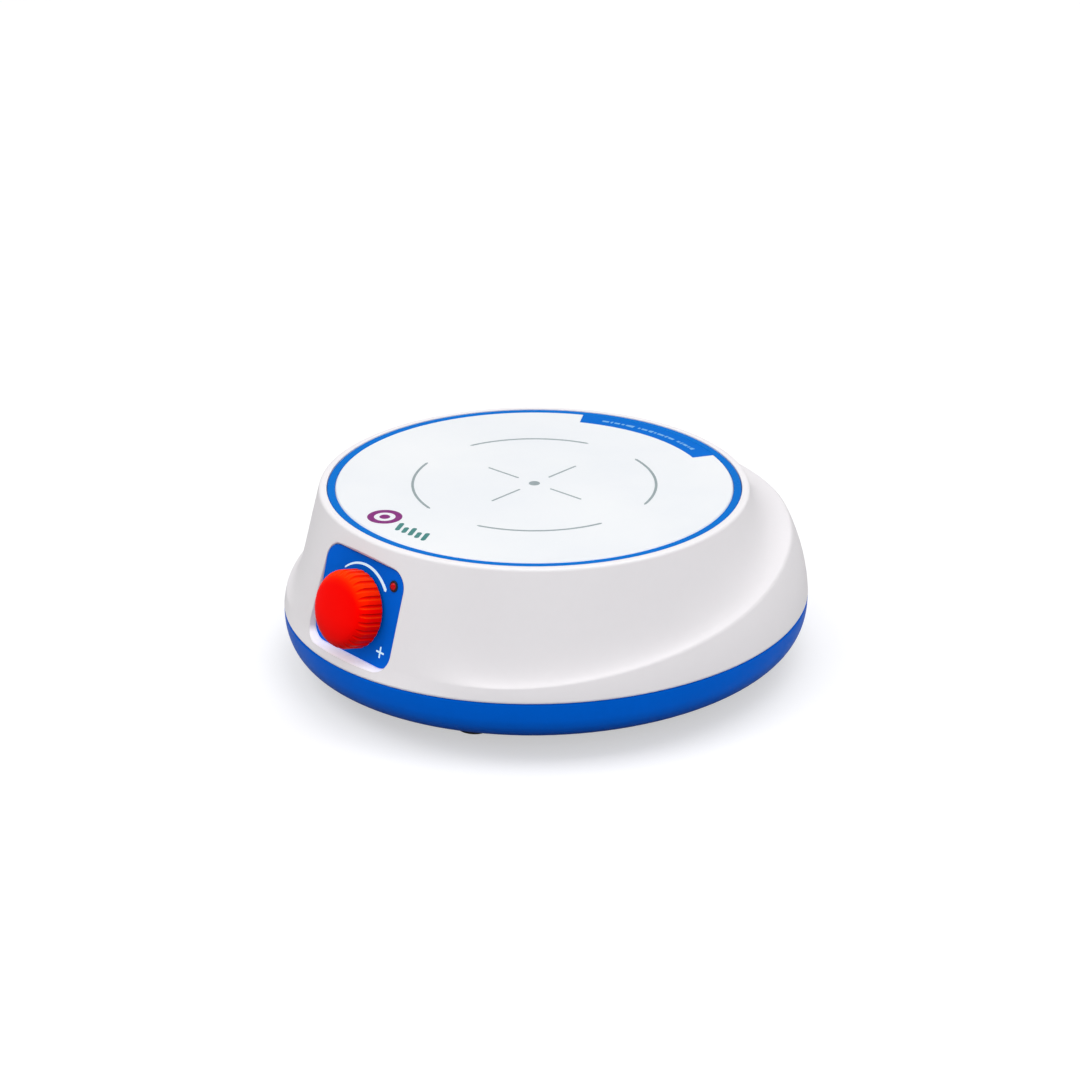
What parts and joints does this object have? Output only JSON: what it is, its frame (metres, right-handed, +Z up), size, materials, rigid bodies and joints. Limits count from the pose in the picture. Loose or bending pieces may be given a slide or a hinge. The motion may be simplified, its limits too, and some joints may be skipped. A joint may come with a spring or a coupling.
{
  "type": "magnetic stirrer",
  "caption": "Compact round magnetic stirrer: a flat stirring plate on a two-shell housing, with a front speed knob and indicator lamp, and a motor-driven magnet inside.",
  "frame": {"origin": "where the axis of the round stirring plate and of the motor shaft meets the table the feet stand on", "axes": "+Z up along the stirring axis, -Y toward the speed knob at the front, +X to the right seen from the front"},
  "size_m": [0.155, 0.167, 0.057],
  "materials": {
    "white_housing": "satin injection-moulded off-white ABS",
    "blue_base": "semi-gloss blue ABS",
    "white_plate": "smooth glossy white plate",
    "blue_trim": "gloss blue",
    "blue_label": "smooth printed blue inlay",
    "blue_panel": "satin blue",
    "red_knob": "semi-gloss orange-red",
    "black_rubber": "matt black",
    "black_plastic": "matt black",
    "adhesive": "translucent grey adhesive foam",
    "steel": "bright zinc plate",
    "motor_steel": "drawn nickel-plated can",
    "shaft_steel": "ground",
    "brass": "turned",
    "copper": "enamelled copper",
    "lamination": "stacked steel laminations",
    "ferrite": "sintered ferrite",
    "neodymium": "nickel-plated magnet",
    "carbon": "carbon brush",
    "nylon": "natural nylon",
    "pcb_green": "solder-masked glass-fibre board",
    "tin": "tinned",
    "red_lens": "translucent red epoxy",
    "wire_red": "PVC insulation",
    "wire_grey": "PVC insulation",
    "wire_black": "PVC insulation"
  },
  "bodies": {
    "housing": {"top_housing": "white_housing", "bottom_housing": "blue_base", "stirring_plate": "white_plate", "plate_trim_ring": "blue_trim", "plate_adhesive_ring": "adhesive", "plate_label_band": "blue_label", "control_panel": "blue_panel", "potentiometer_body": "steel", "potentiometer_bushing": "brass", "potentiometer_washer": "steel", "potentiometer_nut": "steel", "potentiometer_terminals": "tin", "led_lens": "red_lens", "led_bezel": "black_plastic", "led_leads": "tin", "rubber_feet": "black_rubber", "housing_screws": "steel", "motor_bracket": "steel", "bracket_screws": "steel", "bracket_grommets": "black_rubber", "motor_can": "motor_steel", "motor_end_cap": "nylon", "motor_field_magnets": "ferrite", "motor_brushes": "carbon", "motor_bushings": "brass", "motor_terminals": "tin", "motor_screws": "steel", "control_pcb": "pcb_green", "pcb_capacitor": "black_plastic", "pcb_driver_chip": "black_plastic", "pcb_connectors": "nylon", "pcb_screws": "steel", "dc_jack_body": "black_plastic", "dc_jack_pin": "tin", "dc_jack_nut": "steel", "motor_wires": "wire_red", "potentiometer_wires": "wire_grey", "led_wires": "wire_red", "dc_wires": "wire_black"},
    "speed_control": {"speed_knob": "red_knob", "potentiometer_shaft": "shaft_steel"},
    "stirring_rotor": {"motor_shaft": "shaft_steel", "motor_armature_core": "lamination", "motor_windings": "copper", "motor_commutator": "copper", "magnet_carrier": "nylon", "drive_magnets": "neodymium", "magnet_yoke": "motor_steel"}
  },
  "joints": [
    {"name": "knob_turn", "type": "hinge", "parent": "housing", "child": "speed_control", "pos_m": [0, -0.06855, 0.03605], "axis": [0, 0.9703, -0.2419], "range_deg": [0, 300]},
    {"name": "rotor_spin", "type": "hinge", "parent": "housing", "child": "stirring_rotor", "pos_m": [0, 0, 0.043], "axis": [0, 0, 1], "continuous": true}
  ]
}
